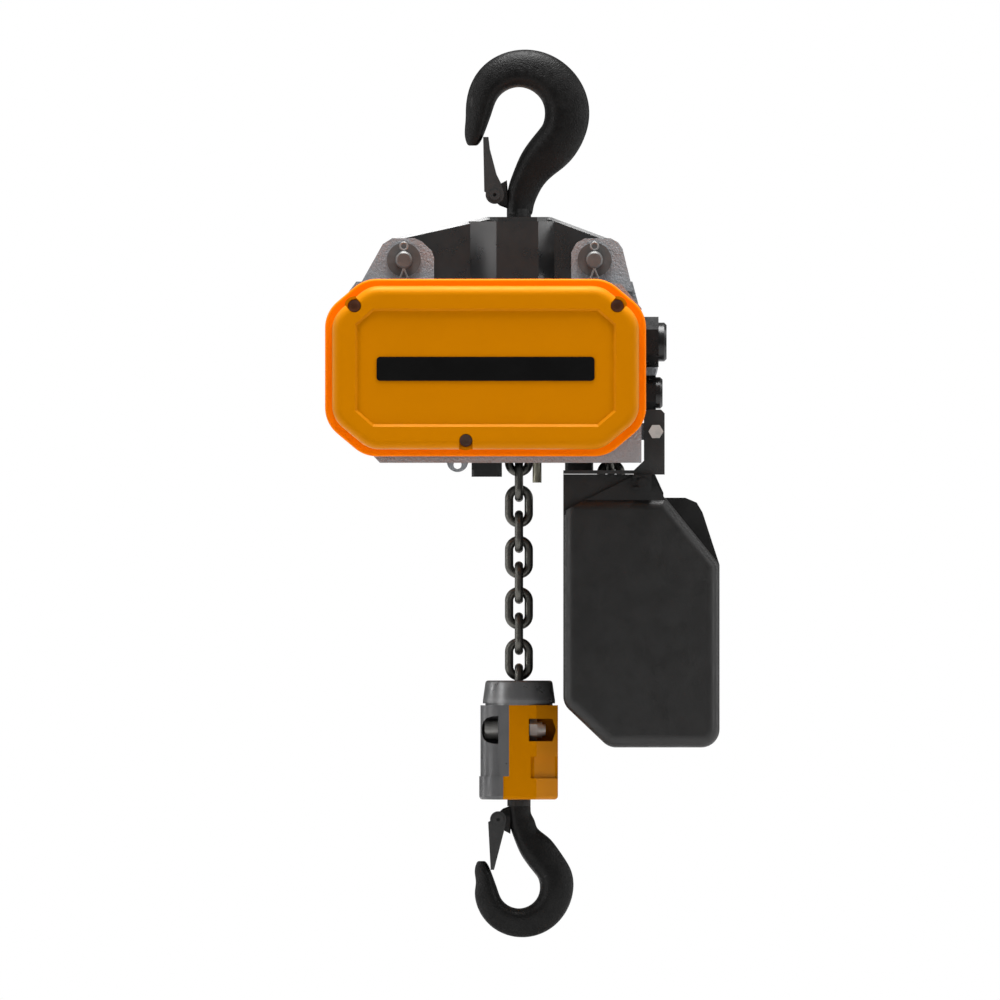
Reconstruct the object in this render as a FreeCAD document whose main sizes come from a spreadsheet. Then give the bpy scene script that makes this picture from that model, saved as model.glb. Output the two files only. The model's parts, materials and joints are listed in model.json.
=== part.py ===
import FreeCAD, Part
import math
import operator
import os
from types import SimpleNamespace

import Sketcher
from FreeCAD import Placement, Rotation, Vector

# Electric chain hoist on a swivel hook, with its load chain, hook block and chain container.
# Millimetres. +X is the side of the chain container, -Y the side of the electrical cover, +Z up.
# The origin is the saddle of the suspension hook, where a sling or a girder shackle carries it.

doc = FreeCAD.newDocument("chain_hoist")
sheet = doc.addObject("Spreadsheet::Sheet", "Sizes")

CELLS = {
    # suspension hook, DIN 15401 size 05
    "top_bowl_radius": 21.5,
    "top_hook_back": 37.0,
    "top_hook_breadth": 29.0,
    "top_shank_radius": 10.0,
    "top_latch_x": -19.9,
    "top_latch_z": -88.5,
    "top_latch_hub": 7.6,
    "top_rivet_radius": 3.0,
    "top_nut_z": -147.0,
    # load hook, DIN 15401 size 025
    "load_bowl_radius": 18.0,
    "load_bowl_z": -658.8,
    "load_hook_back": 27.2,
    "load_hook_breadth": 22.0,
    "load_shank_radius": 9.6,
    "load_latch_x": -17.1,
    "load_latch_z": -602.9,
    "load_latch_hub": 6.7,
    "latch_gauge": 1.6,
    # suspension beam and the pins that carry it
    "beam_top_z": -106.8,
    "beam_half_depth": 20.0,
    "beam_web_half": 9.0,
    "beam_boss_half": 25.0,
    "pin_radius": 7.0,
    "pin_spacing": 157.0,
    "pin_left_x": -94.8,
    "pin_z": -142.1,
    "ear_inner_y": 22.0,
    "ear_outer_y": 40.0,
    "washer_radius": 14.0,
    "washer_gauge": 2.5,
    # housing
    "front_y": -62.0,
    "mid_y": -22.0,
    "back_y": 58.0,
    "wall": 6.0,
    "housing_top_z": -160.0,
    "housing_bottom_z": -309.3,
    "housing_left_x": -150.0,
    "housing_right_x": 100.9,
    "housing_shoulder_x": 113.0,
    "shoulder_z": -233.6,
    "channel_half": 13.2,
    "running_gap": 0.04,
    # front cover
    "cover_width": 264.4,
    "cover_height": 146.2,
    "cover_cut_x": 32.5,
    "cover_cut_z": 27.2,
    "cover_x": -27.5,
    "cover_z": -230.9,
    "cover_corner": 28.0,
    "cover_front_y": -120.0,
    "cover_flange": 5.8,
    "cover_flange_depth": 9.0,
    "cover_edge": 7.5,
    "cover_skin": 3.0,
    "panel_width": 211.0,
    "panel_height": 93.1,
    "panel_cut_x": 13.4,
    "panel_cut_z": 11.6,
    "panel_depth": 2.5,
    "plate_width": 179.5,
    "plate_height": 19.8,
    "plate_gauge": 0.8,
    "screw_top_z": -180.0,
    "screw_low_z": -290.9,
    "screw_left_x": -135.5,
    "screw_right_x": 81.0,
    "screw_low_x": -43.7,
    "screw_head_radius": 5.0,
    "screw_radius": 3.0,
    "screw_bore_radius": 5.5,
    "screw_seat_y": -100.0,
    # drive: chain wheel, layshaft and motor axes
    "chain_wire": 7.0,
    "chain_pitch": 21.0,
    "link_width": 23.2,
    "wheel_x": 31.65,
    "wheel_z": -240.0,
    "wheel_half": 13.0,
    "lay_x": -29.93,
    "lay_z": -223.5,
    "motor_x": 19.55,
    "motor_z": -235.84,
    "gear_low_y": 26.0,
    "gear_mid_y": 38.5,
    "gear_high_y": 50.0,
    # motor and brake
    "motor_end_y": 188.0,
    "motor_bore": 50.0,
    "motor_skin": 56.0,
    "motor_fin": 64.0,
    "shield_gauge": 8.0,
    "rotor_radius": 30.0,
    "shaft_radius": 10.0,
    "rear_cover_end_y": 250.0,
    # chain outlet, limit pin and container
    "slack_x": 75.8,
    "limit_x": 14.9,
    "limit_y": -21.5,
    "limit_low_z": -325.6,
    "limit_radius": 3.7,
    "box_left_x": 36.5,
    "box_right_x": 165.2,
    "box_low_z": -543.7,
    "box_top_z": -338.0,
    "box_half_depth": 52.0,
    "box_skin": 2.5,
    # cable glands
    "gland_y": -42.0,
    "gland_high_z": -209.8,
    "gland_low_z": -251.7,
    # hook block
    "cap_top_z": -488.5,
    "cap_low_z": -507.4,
    "cap_top_radius": 27.4,
    "cap_low_radius": 29.75,
    "block_top_z": -508.9,
    "block_low_z": -586.6,
    "block_left_x": -31.7,
    "block_right_x": 32.1,
    "block_half_depth": 27.0,
    "block_seam_x": -8.2,
    "block_low_seam_x": -13.0,
    "block_step_z": -567.4,
    "block_bolt_z": -529.3,
    "block_bolt_radius": 5.0,
}


class Size(float):
    """A number that keeps the sheet expression it was worked out from."""

    def __new__(cls, value, text=None):
        made = super().__new__(cls, value)
        made.text = text or f"({float(value)!r})"
        return made

    def __add__(self, other):
        return combined(self, "+", other)

    def __radd__(self, other):
        return combined(other, "+", self)

    def __sub__(self, other):
        return combined(self, "-", other)

    def __rsub__(self, other):
        return combined(other, "-", self)

    def __mul__(self, other):
        return combined(self, "*", other)

    def __rmul__(self, other):
        return combined(other, "*", self)

    def __truediv__(self, other):
        return combined(self, "/", other)

    def __neg__(self):
        return combined(0.0, "-", self)


SIGNS = {"+": operator.add, "-": operator.sub, "*": operator.mul, "/": operator.truediv}


def sized(value):
    return value if isinstance(value, Size) else Size(value)


def combined(left, sign, right):
    left, right = sized(left), sized(right)
    return Size(SIGNS[sign](float(left), float(right)), f"({left.text} {sign} {right.text})")


D = SimpleNamespace()
for row, (alias, value) in enumerate(CELLS.items(), 1):
    sheet.set(f"A{row}", alias)
    sheet.set(f"B{row}", str(value))
    sheet.setAlias(f"B{row}", alias)
    setattr(D, alias, Size(value, f"Sizes.{alias}"))
doc.recompute()

NODES = []


def node(thing, label):
    """Name an object as a sub-part of the hoist."""
    thing.Label = label
    NODES.append(thing)
    return thing


def bind(thing, name, value):
    thing.setExpression(name, sized(value).text)


# ---- sketch-based pieces ----------------------------------------------------------------------

# The sign of each plane's sketch normal along its own row axis.
PLANES = {"XY_Plane": 1, "XZ_Plane": -1, "YZ_Plane": 1}


def body(label):
    return node(doc.addObject("PartDesign::Body", label), label)


def new_sketch(owner, plane, level):
    """A sketch in an origin plane of its body, moved to a coordinate along that plane's axis."""
    made = owner.newObject("Sketcher::SketchObject", "outline")
    support = [item for item in owner.Origin.OriginFeatures if item.Role == plane][0]
    made.AttachmentSupport = [(support, "")]
    made.MapMode = "FlatFace"
    bind(made, "AttachmentOffset.Base.z", sized(level) * PLANES[plane])
    return made


def pin_point(made, geometry, point, place):
    """Hold a sketch point at a bound place, measured from the origin."""
    for kind, value in zip(("DistanceX", "DistanceY"), place):
        index = made.addConstraint(Sketcher.Constraint(kind, -1, 1, geometry, point, float(value)))
        if isinstance(value, Size):
            made.setExpression(f"Constraints[{index}]", value.text)


def polygon(owner, plane, points, level):
    made = new_sketch(owner, plane, level)
    count = len(points)
    for index in range(count):
        here, there = points[index], points[(index + 1) % count]
        made.addGeometry(Part.LineSegment(Vector(*here), Vector(*there)), False)
    for index in range(count):
        made.addConstraint(Sketcher.Constraint("Coincident", index, 2, (index + 1) % count, 1))
    for index, place in enumerate(points):
        pin_point(made, index, 1, place)
    return made


def circle(owner, plane, centre, radius, level):
    made = new_sketch(owner, plane, level)
    made.addGeometry(Part.Circle(Vector(*centre), Vector(0, 0, 1), float(radius)), False)
    pin_point(made, 0, 3, centre)
    index = made.addConstraint(Sketcher.Constraint("Radius", 0, float(radius)))
    made.setExpression(f"Constraints[{index}]", sized(radius).text)
    return made


def pad(owner, draw, plane, shape, low, high):
    """Add a sketch's outline as a solid between two coordinates along the plane's axis."""
    profile = draw(owner, plane, *shape, low if PLANES[plane] > 0 else high)
    made = owner.newObject("PartDesign::Pad", "pad")
    made.Profile = profile
    bind(made, "Length", high - low)
    doc.recompute()
    return made


def pocket(owner, draw, plane, shape, low, high):
    """Cut a sketch's outline away between two coordinates, and check that it cut something."""
    before = owner.Shape.Volume
    profile = draw(owner, plane, *shape, high if PLANES[plane] > 0 else low)
    made = owner.newObject("PartDesign::Pocket", "pocket")
    made.Profile = profile
    bind(made, "Length", high - low)
    doc.recompute()
    if not owner.Shape.Volume < before - 1e-6:
        raise RuntimeError(f"a pocket of {owner.Label} cuts nothing")
    return made


def block(owner, x, y, z):
    return pad(owner, polygon, "XY_Plane", [corners(x, y)], sized(z[0]), sized(z[1]))


def cut_block(owner, x, y, z):
    return pocket(owner, polygon, "XY_Plane", [corners(x, y)], sized(z[0]), sized(z[1]))


def corners(first, second):
    """The four corners of a rectangle given by its ranges."""
    return [(first[0], second[0]), (first[1], second[0]), (first[1], second[1]), (first[0], second[1])]


def revolve(owner, plane, points, axis, level=0.0):
    """Turn a profile round one of its sketch's own axes, moved to that axis's place."""
    profile = polygon(owner, plane, points, level)
    made = owner.newObject("PartDesign::Revolution", "revolution")
    made.Profile = profile
    made.ReferenceAxis = (profile, [axis])
    made.Angle = 360
    doc.recompute()
    return made


def dress(owner, kind, chosen, size):
    """Round or bevel the edges of a body that a test picks out."""
    names = [f"Edge{i + 1}" for i, edge in enumerate(owner.Shape.Edges) if chosen(edge)]
    if not names:
        raise RuntimeError(f"{owner.Label} has no such edge")
    base = owner.Tip
    made = owner.newObject(f"PartDesign::{kind}", kind.lower())
    made.Base = (base, names)
    bind(made, "Radius" if kind == "Fillet" else "Size", size)
    doc.recompute()
    return made


def along(edge, axis):
    """Whether an edge is straight and lies along an axis."""
    if edge.Curve.TypeId != "Part::GeomLine":
        return False
    return abs(abs(edge.tangentAt(edge.FirstParameter).dot(axis)) - 1) < 1e-6


def at_y(edge, level):
    bounds = edge.BoundBox
    return abs(bounds.YMin - level) < 1e-3 and abs(bounds.YMax - level) < 1e-3


def at_z(edge, level):
    bounds = edge.BoundBox
    return abs(bounds.ZMin - level) < 1e-3 and abs(bounds.ZMax - level) < 1e-3


# ---- pieces made of primitives ----------------------------------------------------------------

TURNS = {
    "X": Rotation(Vector(0, 1, 0), 90),
    "Y": Rotation(Vector(1, 0, 0), 90),
    "Z": Rotation(),
}


def place(thing, point, turn=None):
    thing.Placement = Placement(Vector(*point), turn or Rotation())
    for name, value in zip("xyz", point):
        if isinstance(value, Size):
            thing.setExpression(f"Placement.Base.{name}", value.text)
    return thing


def rod_base(axis, centre, low, high):
    """Where a cylinder starts that runs from low to high along an axis at a centre."""
    first, second = centre
    if axis == "X":
        return (low, first, second)
    if axis == "Y":
        return (first, high, second)
    return (first, second, low)


def rod(axis, centre, radius, low, high):
    made = doc.addObject("Part::Cylinder", "rod")
    bind(made, "Radius", radius)
    bind(made, "Height", high - low)
    return place(made, rod_base(axis, centre, low, high), TURNS[axis])


def cone(axis, centre, first_radius, second_radius, low, high):
    """A cone from low to high; along Y its first radius is at the high end."""
    made = doc.addObject("Part::Cone", "cone")
    bind(made, "Radius1", first_radius)
    bind(made, "Radius2", second_radius)
    bind(made, "Height", high - low)
    return place(made, rod_base(axis, centre, low, high), TURNS[axis])


def brick(x, y, z):
    made = doc.addObject("Part::Box", "brick")
    for name, span in zip(("Length", "Width", "Height"), (x, y, z)):
        bind(made, name, span[1] - span[0])
    return place(made, (x[0], y[0], z[0]))


def hexagon(axis, centre, across_flats, low, high):
    made = doc.addObject("Part::Prism", "hexagon")
    made.Polygon = 6
    bind(made, "Circumradius", across_flats / math.sqrt(3))
    bind(made, "Height", high - low)
    return place(made, rod_base(axis, centre, low, high), TURNS[axis])


def fused(*things):
    made = doc.addObject("Part::MultiFuse", "fused")
    made.Shapes = list(things)
    return made


def minus(base, *tools):
    for tool in tools:
        made = doc.addObject("Part::Cut", "cut")
        made.Base = base
        made.Tool = tool
        base = made
    return base


def group(label, things):
    """Separate solids that share one node."""
    made = doc.addObject("Part::Compound", label)
    made.Links = list(things)
    return node(made, label)


def ring(axis, centre, outer, inner, low, high):
    return minus(rod(axis, centre, outer, low, high), rod(axis, centre, inner, low, high))


def solid(label, shape):
    """A sub-part whose form is worked out with Part's own functions."""
    made = doc.addObject("Part::Feature", label)
    made.Shape = shape
    made.Placement = Placement()
    return node(made, label)


# ---- hooks and latches ------------------------------------------------------------------------

FRONT = Vector(0, -1, 0)
UP = Vector(0, 0, 1)


def oval(inner, outer, breadth):
    """A hook section between its inner and outer points: broad inside the bowl, narrower outside."""
    reach = outer - inner
    side = Vector(0, breadth / 2, 0)
    rows = [(0.0, 0.0), (0.07, 0.62), (0.26, 0.97), (0.52, 0.92), (0.8, 0.66), (0.96, 0.32), (1.0, 0.0)]
    right = [inner + reach * depth + side * half for depth, half in rows]
    left = [inner + reach * depth - side * half for depth, half in reversed(rows[1:-1])]
    curve = Part.BSplineCurve()
    curve.interpolate(right + left, PeriodicFlag=True)
    return Part.Wire([curve.toShape()])


def lofted_hook(centre_z, bowl, grow, breadth, back, taper, upward):
    """A lifting hook round a bowl; upward is 1 where the bowl opens below its shank, else -1.

    The outer radius is greatest at the back of the hook, and shrinks towards its point by the
    taper: the angle where that starts, and the loss per degree and per degree squared.
    """
    centre = Vector(0, 0, centre_z)

    def at(x, z):
        return centre + Vector(x * grow, 0, z * grow * upward)

    def polar(angle, radius):
        turn = math.radians(angle)
        return centre + Vector(radius * math.cos(turn), 0, upward * radius * math.sin(turn))

    sections = [
        oval(at(-34.6, -26.6), at(-41.8, -26.6), breadth * 0.30),
        oval(at(-31.9, -23.6), at(-43.9, -22.2), breadth * 0.52),
        oval(at(-28.2, -15.6), at(-44.6, -12.4), breadth * 0.66),
        oval(at(-24.3, -5.0), at(-43.9, -2.6), breadth * 0.74),
    ]
    for angle in range(165, -46, -30):
        past = max(0.0, angle - taper[0])
        reach = back * (1 - taper[1] * past - taper[2] * past ** 2)
        wide = breadth * (1 - abs(angle) * 0.0011)
        sections.append(oval(polar(angle, bowl), polar(angle, reach), wide))
    sections += [
        oval(at(9.4, -22.4), at(33.0, -47.5), breadth * 0.92),
        oval(at(1.4, -34.6), at(23.0, -56.0), breadth * 0.84),
        oval(at(-4.2, -47.6), at(16.6, -65.4), breadth * 0.76),
        oval(at(-8.4, -60.0), at(13.4, -72.6), breadth * 0.72),
        oval(at(-9.9, -72.0), at(11.9, -78.0), breadth * 0.70),
        oval(at(-10.0, -83.2), at(10.6, -83.4), breadth * 0.69),
    ]
    made = Part.makeLoft(sections, True, False)
    tip = at(0, -26.6).z
    return rounded(made, 2.6 * grow, lambda edge: at_z(edge, tip))


def plate(points, low, high):
    """A flat piece across the hook's plane, from one Y to another."""
    wire = Part.makePolygon([Vector(x, low, z) for x, z in points + points[:1]])
    return Part.Face(wire).extrude(Vector(0, high - low, 0))


def bar(radius, start, end):
    return Part.makeCylinder(float(radius), (end - start).Length, start, end - start)


def rounded(shape, radius, chosen):
    edges = [edge for edge in shape.Edges if chosen(edge)]
    return shape.makeFillet(float(radius), edges)


def forged_hook(label, bowl_z, bowl, grow, breadth, back, taper, upward, latch, rivet, neck, shank, end):
    """Hook with its latch boss, a round shank and the cross hole of the latch rivet."""
    made = lofted_hook(float(bowl_z), float(bowl), grow, float(breadth), float(back), taper, upward)
    x, z = latch
    boss = [(x - 1.0, z - 4.5), (x - 1.0, z + 6.0), (x + 10.0, z + 12.0), (x + 12.0, z - 12.0),
            (x + 4.0, z - 9.0)]
    if upward < 0:
        boss = [(px, 2 * z - pz) for px, pz in boss]
    tongue = rounded(plate(boss, -4.0, 4.0), 1.2, lambda edge: abs(edge.tangentAt(0).y) < 0.5)
    stem = bar(shank, Vector(0, 0, neck), Vector(0, 0, end))
    hole = bar(rivet + 0.06, Vector(x, -20, z), Vector(x, 20, z))
    return solid(label, made.fuse([tongue, stem]).cut(hole))


def sheet_latch(label, latch, hub, edge, upward):
    """A pressed latch: two cheeks on the rivet, joined by a web along the outer edge of its tongue.

    The edge runs from the foot of the web over the tip and down the inner side, from the pivot.
    """
    x, z = latch
    gauge, hub = float(D.latch_gauge), float(hub)
    outline = [(x + right, z + upward * up) for right, up in edge + [(0.0, -2.0)]]
    parts = []
    for low in (-8.6, 8.6 - gauge):
        parts.append(plate(outline, low, low + gauge))
        parts.append(bar(hub, Vector(x, low, z), Vector(x, low + gauge, z)))
    foot, tip = Vector(edge[0][0], 0, edge[0][1]), Vector(edge[1][0], 0, edge[1][1])
    start = foot + (tip - foot) * 0.28
    web = [(start.x, start.z), (tip.x, tip.z), (tip.x + gauge, tip.z), (start.x + gauge, start.z)]
    parts.append(plate([(x + right, z + upward * up) for right, up in web], -8.6, 8.6))
    made = parts[0].fuse(parts[1:])
    made = made.cut(bar(D.top_rivet_radius + 0.06, Vector(x, -20, z), Vector(x, 20, z)))
    return solid(label, made.removeSplitter())


def torsion_spring(label, latch, upward):
    """Two close coils round the rivet, outside the boss, each with a straight leg on the tongue."""
    x, z = latch
    coils = []
    for side in (-1, 1):
        start = side * 4.5 if side > 0 else side * 6.5
        tube = Part.makeCylinder(4.6, 2.0, Vector(x, start, z), Vector(0, 1, 0))
        core = Part.makeCylinder(3.2, 2.0, Vector(x, start, z), Vector(0, 1, 0))
        leg_y = side * 5.5
        leg = bar(0.6, Vector(x - 3.6, leg_y, z), Vector(x - 4.1, leg_y, z + upward * 22.0))
        coils.append(tube.fuse(leg).cut(core))
    return solid(label, Part.makeCompound(coils))


def rivet(label, latch, radius):
    x, z = latch
    shaft = rod("Y", (x, z), radius, Size(-9.2), Size(9.2))
    heads = [rod("Y", (x, z), radius + 1.4, low, low + 1.2) for low in (Size(-10.0), Size(8.8))]
    recess = [rod("Y", (x, z), radius / 2, low, low + 1.6) for low in (Size(-10.0), Size(8.4))]
    return node(minus(fused(shaft, *heads), *recess), label)


def suspension_hook():
    latch = (D.top_latch_x, D.top_latch_z)
    forged_hook("suspension_hook", -D.top_bowl_radius, D.top_bowl_radius, 1.0, D.top_hook_breadth,
                D.top_bowl_radius + D.top_hook_back - 0.8, (15, 0.00095, 0.0000038), 1,
                latch, D.top_rivet_radius,
                -100.0, D.top_shank_radius, float(D.top_nut_z))
    edge = [(-8.7, 2.5), (-9.6, 47.6), (-5.2, 47.6), (-4.0, 37.6), (1.5, 16.7), (5.0, 9.7), (7.4, 1.7)]
    sheet_latch("suspension_latch", latch, D.top_latch_hub, edge, 1)
    torsion_spring("suspension_latch_spring", latch, 1)
    rivet("suspension_latch_rivet", latch, D.top_rivet_radius)
    nut = hexagon("Z", (0.0, 0.0), Size(32.0), D.top_nut_z, D.top_nut_z + 14.0)
    node(minus(nut, rod("Z", (0.0, 0.0), D.top_shank_radius, D.top_nut_z, D.top_nut_z + 14.0)),
         "suspension_hook_nut")
    washer = ring("Z", (0.0, 0.0), Size(17.0), D.top_shank_radius + D.running_gap,
                  D.top_nut_z + 14.0, D.top_nut_z + 19.8)
    node(washer, "suspension_thrust_bearing")


def load_hook():
    latch = (D.load_latch_x, D.load_latch_z)
    grow = float(D.load_bowl_radius / D.top_bowl_radius)
    forged_hook("load_hook", D.load_bowl_z, D.load_bowl_radius - 0.6, grow * 0.97, D.load_hook_breadth,
                D.load_bowl_radius + D.load_hook_back, (-15, 0.00066, 0.0000018), -1,
                latch, D.top_rivet_radius, -592.0, D.load_shank_radius, -556.0)
    edge = [(-8.3, 2.1), (-6.2, 41.6), (-3.4, 41.6), (5.1, 8.7), (6.6, 1.0)]
    sheet_latch("load_latch", latch, D.load_latch_hub, edge, -1)
    torsion_spring("load_latch_spring", latch, -1)
    rivet("load_latch_rivet", latch, D.top_rivet_radius)
    nut = hexagon("Z", (0.0, 0.0), Size(27.0), Size(-566.0), Size(-556.0))
    node(minus(nut, rod("Z", (0.0, 0.0), D.load_shank_radius, Size(-566.0), Size(-556.0))), "load_hook_nut")
    node(ring("Z", (0.0, 0.0), Size(15.5), D.load_shank_radius + D.running_gap, Size(-572.0), Size(-566.1)),
         "load_thrust_bearing")


# ---- suspension beam --------------------------------------------------------------------------

def suspension_beam():
    beam = body("suspension_beam")
    top, foot = D.beam_top_z, D.housing_top_z + 1.6
    left, right = D.pin_left_x, D.pin_left_x + D.pin_spacing
    depth = D.beam_boss_half
    outline = [
        (-26.0, top), (26.0, top), (right + 12.0, top - 18.0), (right + 14.0, D.pin_z - 12.0),
        (right - 4.0, foot), (left + 4.0, foot), (left - 14.0, D.pin_z - 12.0), (left - 12.0, top - 18.0),
    ]
    pad(beam, polygon, "XZ_Plane", [outline], -D.beam_web_half, D.beam_web_half)
    dress(beam, "Chamfer", lambda edge: at_y(edge, -D.beam_web_half) and edge.BoundBox.ZMin > top - 19.0,
          Size(2.2))
    hub = [(-41.5, -8.0), (-18.6, -depth), (16.0, -depth), (30.0, -8.0),
           (30.0, 8.0), (16.0, depth), (-18.6, depth), (-41.5, 8.0)]
    pad(beam, polygon, "XY_Plane", [hub], foot, top - 3.6)
    cap = [(-24.0, -9.0), (-17.6, -depth + 1.6), (15.0, -depth + 1.6), (24.0, -9.0),
           (24.0, 9.0), (15.0, depth - 1.6), (-17.6, depth - 1.6), (-24.0, 9.0)]
    pad(beam, polygon, "XY_Plane", [cap], top - 3.6, top)
    pocket(beam, circle, "XY_Plane", [(0.0, 0.0), D.top_shank_radius + 0.3], foot - 1.0, top + 1.0)
    pocket(beam, circle, "XY_Plane", [(0.0, 0.0), Size(19.0)], foot - 1.0, D.top_nut_z + 20.0)
    for x in (left, right):
        pad(beam, circle, "XZ_Plane", [(x, D.pin_z), Size(12.5)], -D.beam_half_depth, D.beam_half_depth)
        pocket(beam, circle, "XZ_Plane", [(x, D.pin_z), D.pin_radius + D.running_gap],
               -D.beam_half_depth - 1.0, D.beam_half_depth + 1.0)


def pins_and_washers():
    pins, washers, keys = [], [], []
    end = D.ear_outer_y + D.washer_gauge + 6.0
    for x in (D.pin_left_x, D.pin_left_x + D.pin_spacing):
        centre = (x, D.pin_z)
        shaft = rod("Y", centre, D.pin_radius, -end, D.ear_outer_y)
        nose = cone("Y", centre, D.pin_radius, D.pin_radius - 1.5, -end - 1.5, -end)
        head = rod("Y", centre, D.pin_radius + 4.0, D.ear_outer_y, D.ear_outer_y + 4.0)
        hole = rod("Z", (x, -end + 2.6), Size(1.6), D.pin_z - 9.0, D.pin_z + 9.0)
        pins.append(minus(fused(shaft, nose, head), hole))
        low = -D.ear_outer_y - D.washer_gauge
        washers.append(ring("Y", centre, D.washer_radius, D.pin_radius + 0.3, low, -D.ear_outer_y))
        keys.append(split_pin(float(x), float(-end + 2.6), float(D.pin_z)))
    group("suspension_pins", pins)
    group("pin_washers", washers)
    solid("split_pins", Part.makeCompound(keys))


def split_pin(x, y, z):
    """Eye above the pin, two half-round legs through it, bent apart below."""
    wire, offset = 0.75, 0.5
    parts = [Part.makeTorus(3.0, 0.8, Vector(x, y, z + 11.2), Vector(0, 1, 0))]
    for side in (-1, 1):
        inside = Vector(x + side * offset, y, z - 8.6)
        parts.append(bar(wire, Vector(x + side * offset, y, z + 8.9), inside))
        parts.append(bar(wire, inside + Vector(0, 0, 0.6), Vector(x + side * 3.2, y, z - 15.0)))
    return parts[0].fuse(parts[1:])


# ---- housing and covers -----------------------------------------------------------------------

def chain_housing():
    """Cast casing: terminal box in front, chain wheel pocket in the middle, gear case behind."""
    case = body("chain_housing")
    low, top = D.housing_bottom_z, D.housing_top_z
    left, right = D.housing_left_x, D.housing_right_x
    lower_left = [(left, -272.0), (-114.5, low)]
    rear = lower_left + [
        (right, low), (right, -262.0), (D.housing_shoulder_x, D.shoulder_z), (95.0, -166.0),
        (93.4, top), (-134.0, top), (left, -182.0),
    ]
    pad(case, polygon, "XZ_Plane", [rear], D.mid_y, D.back_y)
    front = lower_left + [(right, low), (right, -182.0), (84.0, top - 2.0), (-134.0, top - 2.0),
                          (left, -182.0)]
    pad(case, polygon, "XZ_Plane", [front], D.front_y, D.mid_y)
    for near, far in ((-D.ear_outer_y, -D.ear_inner_y), (D.ear_inner_y, D.ear_outer_y)):
        left_ear = [(-134.0, top - 8.0), (-112.2, -129.2), (-104.6, -124.3), (-85.6, -124.3),
                    (-80.0, -127.0), (-71.8, -134.6), (-69.9, -140.0), (-69.9, top - 8.0)]
        right_ear = [(43.1, top - 8.0), (43.1, -136.0), (47.4, -128.0), (54.4, -124.5), (75.3, -124.3),
                     (81.6, -127.6), (85.4, -133.1), (93.9, top - 8.0)]
        pad(case, polygon, "XZ_Plane", [left_ear], near, far)
        pad(case, polygon, "XZ_Plane", [right_ear], near, far)
    for x in (D.pin_left_x, D.pin_left_x + D.pin_spacing):
        pocket(case, circle, "XZ_Plane", [(x, D.pin_z), D.pin_radius + D.running_gap],
               -D.ear_outer_y - 1.0, D.ear_outer_y + 1.0)
    wall = D.wall
    room = [(left + wall, -269.0), (-112.0, low + wall), (right - wall, low + wall),
            (right - wall, -185.0), (80.0, top - 2.0 - wall), (-131.0, top - 2.0 - wall),
            (left + wall, -185.0)]
    pocket(case, polygon, "XZ_Plane", [room], D.front_y, D.mid_y - wall)
    web = [(62.0, low + 1.0), (right - 1.0, low + 1.0), (right - 1.0, -270.0)]
    pad(case, polygon, "XZ_Plane", [web], D.front_y, D.front_y + 5.0)
    gears = [(-84.0, -190.0), (-70.0, -167.0), (80.0, -167.0), (94.0, -185.0), (96.0, -285.0),
             (84.0, -299.0), (-40.0, -299.0), (-84.0, -262.0)]
    pocket(case, polygon, "XZ_Plane", [gears], D.gear_low_y - 1.5, D.back_y)
    pocket(case, circle, "XZ_Plane", [(D.wheel_x, D.wheel_z), Size(48.5)],
           -D.wheel_half - 1.2, D.wheel_half + 1.2)
    half = D.channel_half
    cut_block(case, (-half, half), (-half, half), (low - 1.0, top - 3.0))
    slack = D.slack_x
    cut_block(case, (slack - 18.0, slack + half), (-half, half), (low - 1.0, D.wheel_z + 4.0))
    cut_block(case, STRIPPER_X, STRIPPER_Y, (D.wheel_z - 62.0, D.wheel_z - 35.0))
    cut_block(case, (7.0, 23.0), (D.mid_y - wall, D.limit_y + 6.0), (low + wall, low + 56.0))
    for near, far, radius in ((-D.wheel_half - 9.0, -D.wheel_half, 17.5), (D.wheel_half, D.gear_low_y, 17.5)):
        pocket(case, circle, "XZ_Plane", [(D.wheel_x, D.wheel_z), Size(radius)], near, far)
    pocket(case, circle, "XZ_Plane", [(D.lay_x, D.lay_z), Size(13.0)], D.gear_low_y - 9.0, D.gear_low_y)
    pocket(case, circle, "XY_Plane", [(D.limit_x, D.limit_y), D.limit_radius + 0.05],
           low - 1.0, low + wall + 1.0)
    for z, radius in ((D.gland_high_z, 12.5), (D.gland_low_z, 8.5)):
        pocket(case, circle, "YZ_Plane", [(D.gland_y, z), Size(radius)], right - wall - 1.0, right + 1.0)
    for x, z in SCREWS:
        pad(case, circle, "XZ_Plane", [(x, z), Size(7.5)], D.front_y + 1.0, D.mid_y - wall + 1.0)
        pocket(case, circle, "XZ_Plane", [(x, z), D.screw_radius], D.front_y - 1.0, D.front_y + 16.0)
    block(case, (right - 2.0, 119.0), (-49.0, -36.0), (-290.5, -276.5))
    pocket(case, circle, "XZ_Plane", [BRACKET_BOLT, Size(3.0)], Size(-49.0), Size(-40.0))
    pad(case, circle, "XZ_Plane", [(-50.6, -308.0), Size(8.9)], Size(-44.0), Size(-36.0))
    pocket(case, circle, "XZ_Plane", [(-50.6, -311.0), Size(3.3)], Size(-45.0), Size(-35.0))


SCREWS = [
    (D.screw_left_x, D.screw_top_z),
    (D.screw_right_x, D.screw_top_z),
    (D.screw_low_x, D.screw_low_z),
]


# Each screw's bore opens to the cover's rim this way.
RELIEFS = [(-0.64, 0.768), (0.64, 0.768), (0.0, -1.0)]


def octagon(width, height, cut_x, cut_z):
    """An octagon about the cover's centre."""
    across, up = width / 2, height / 2
    quarter = [(across, up - cut_z), (across - cut_x, up)]
    ends = quarter + [(-x, z) for x, z in reversed(quarter)]
    ends += [(-x, -z) for x, z in ends]
    return [(D.cover_x + x, D.cover_z + z) for x, z in ends]


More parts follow.
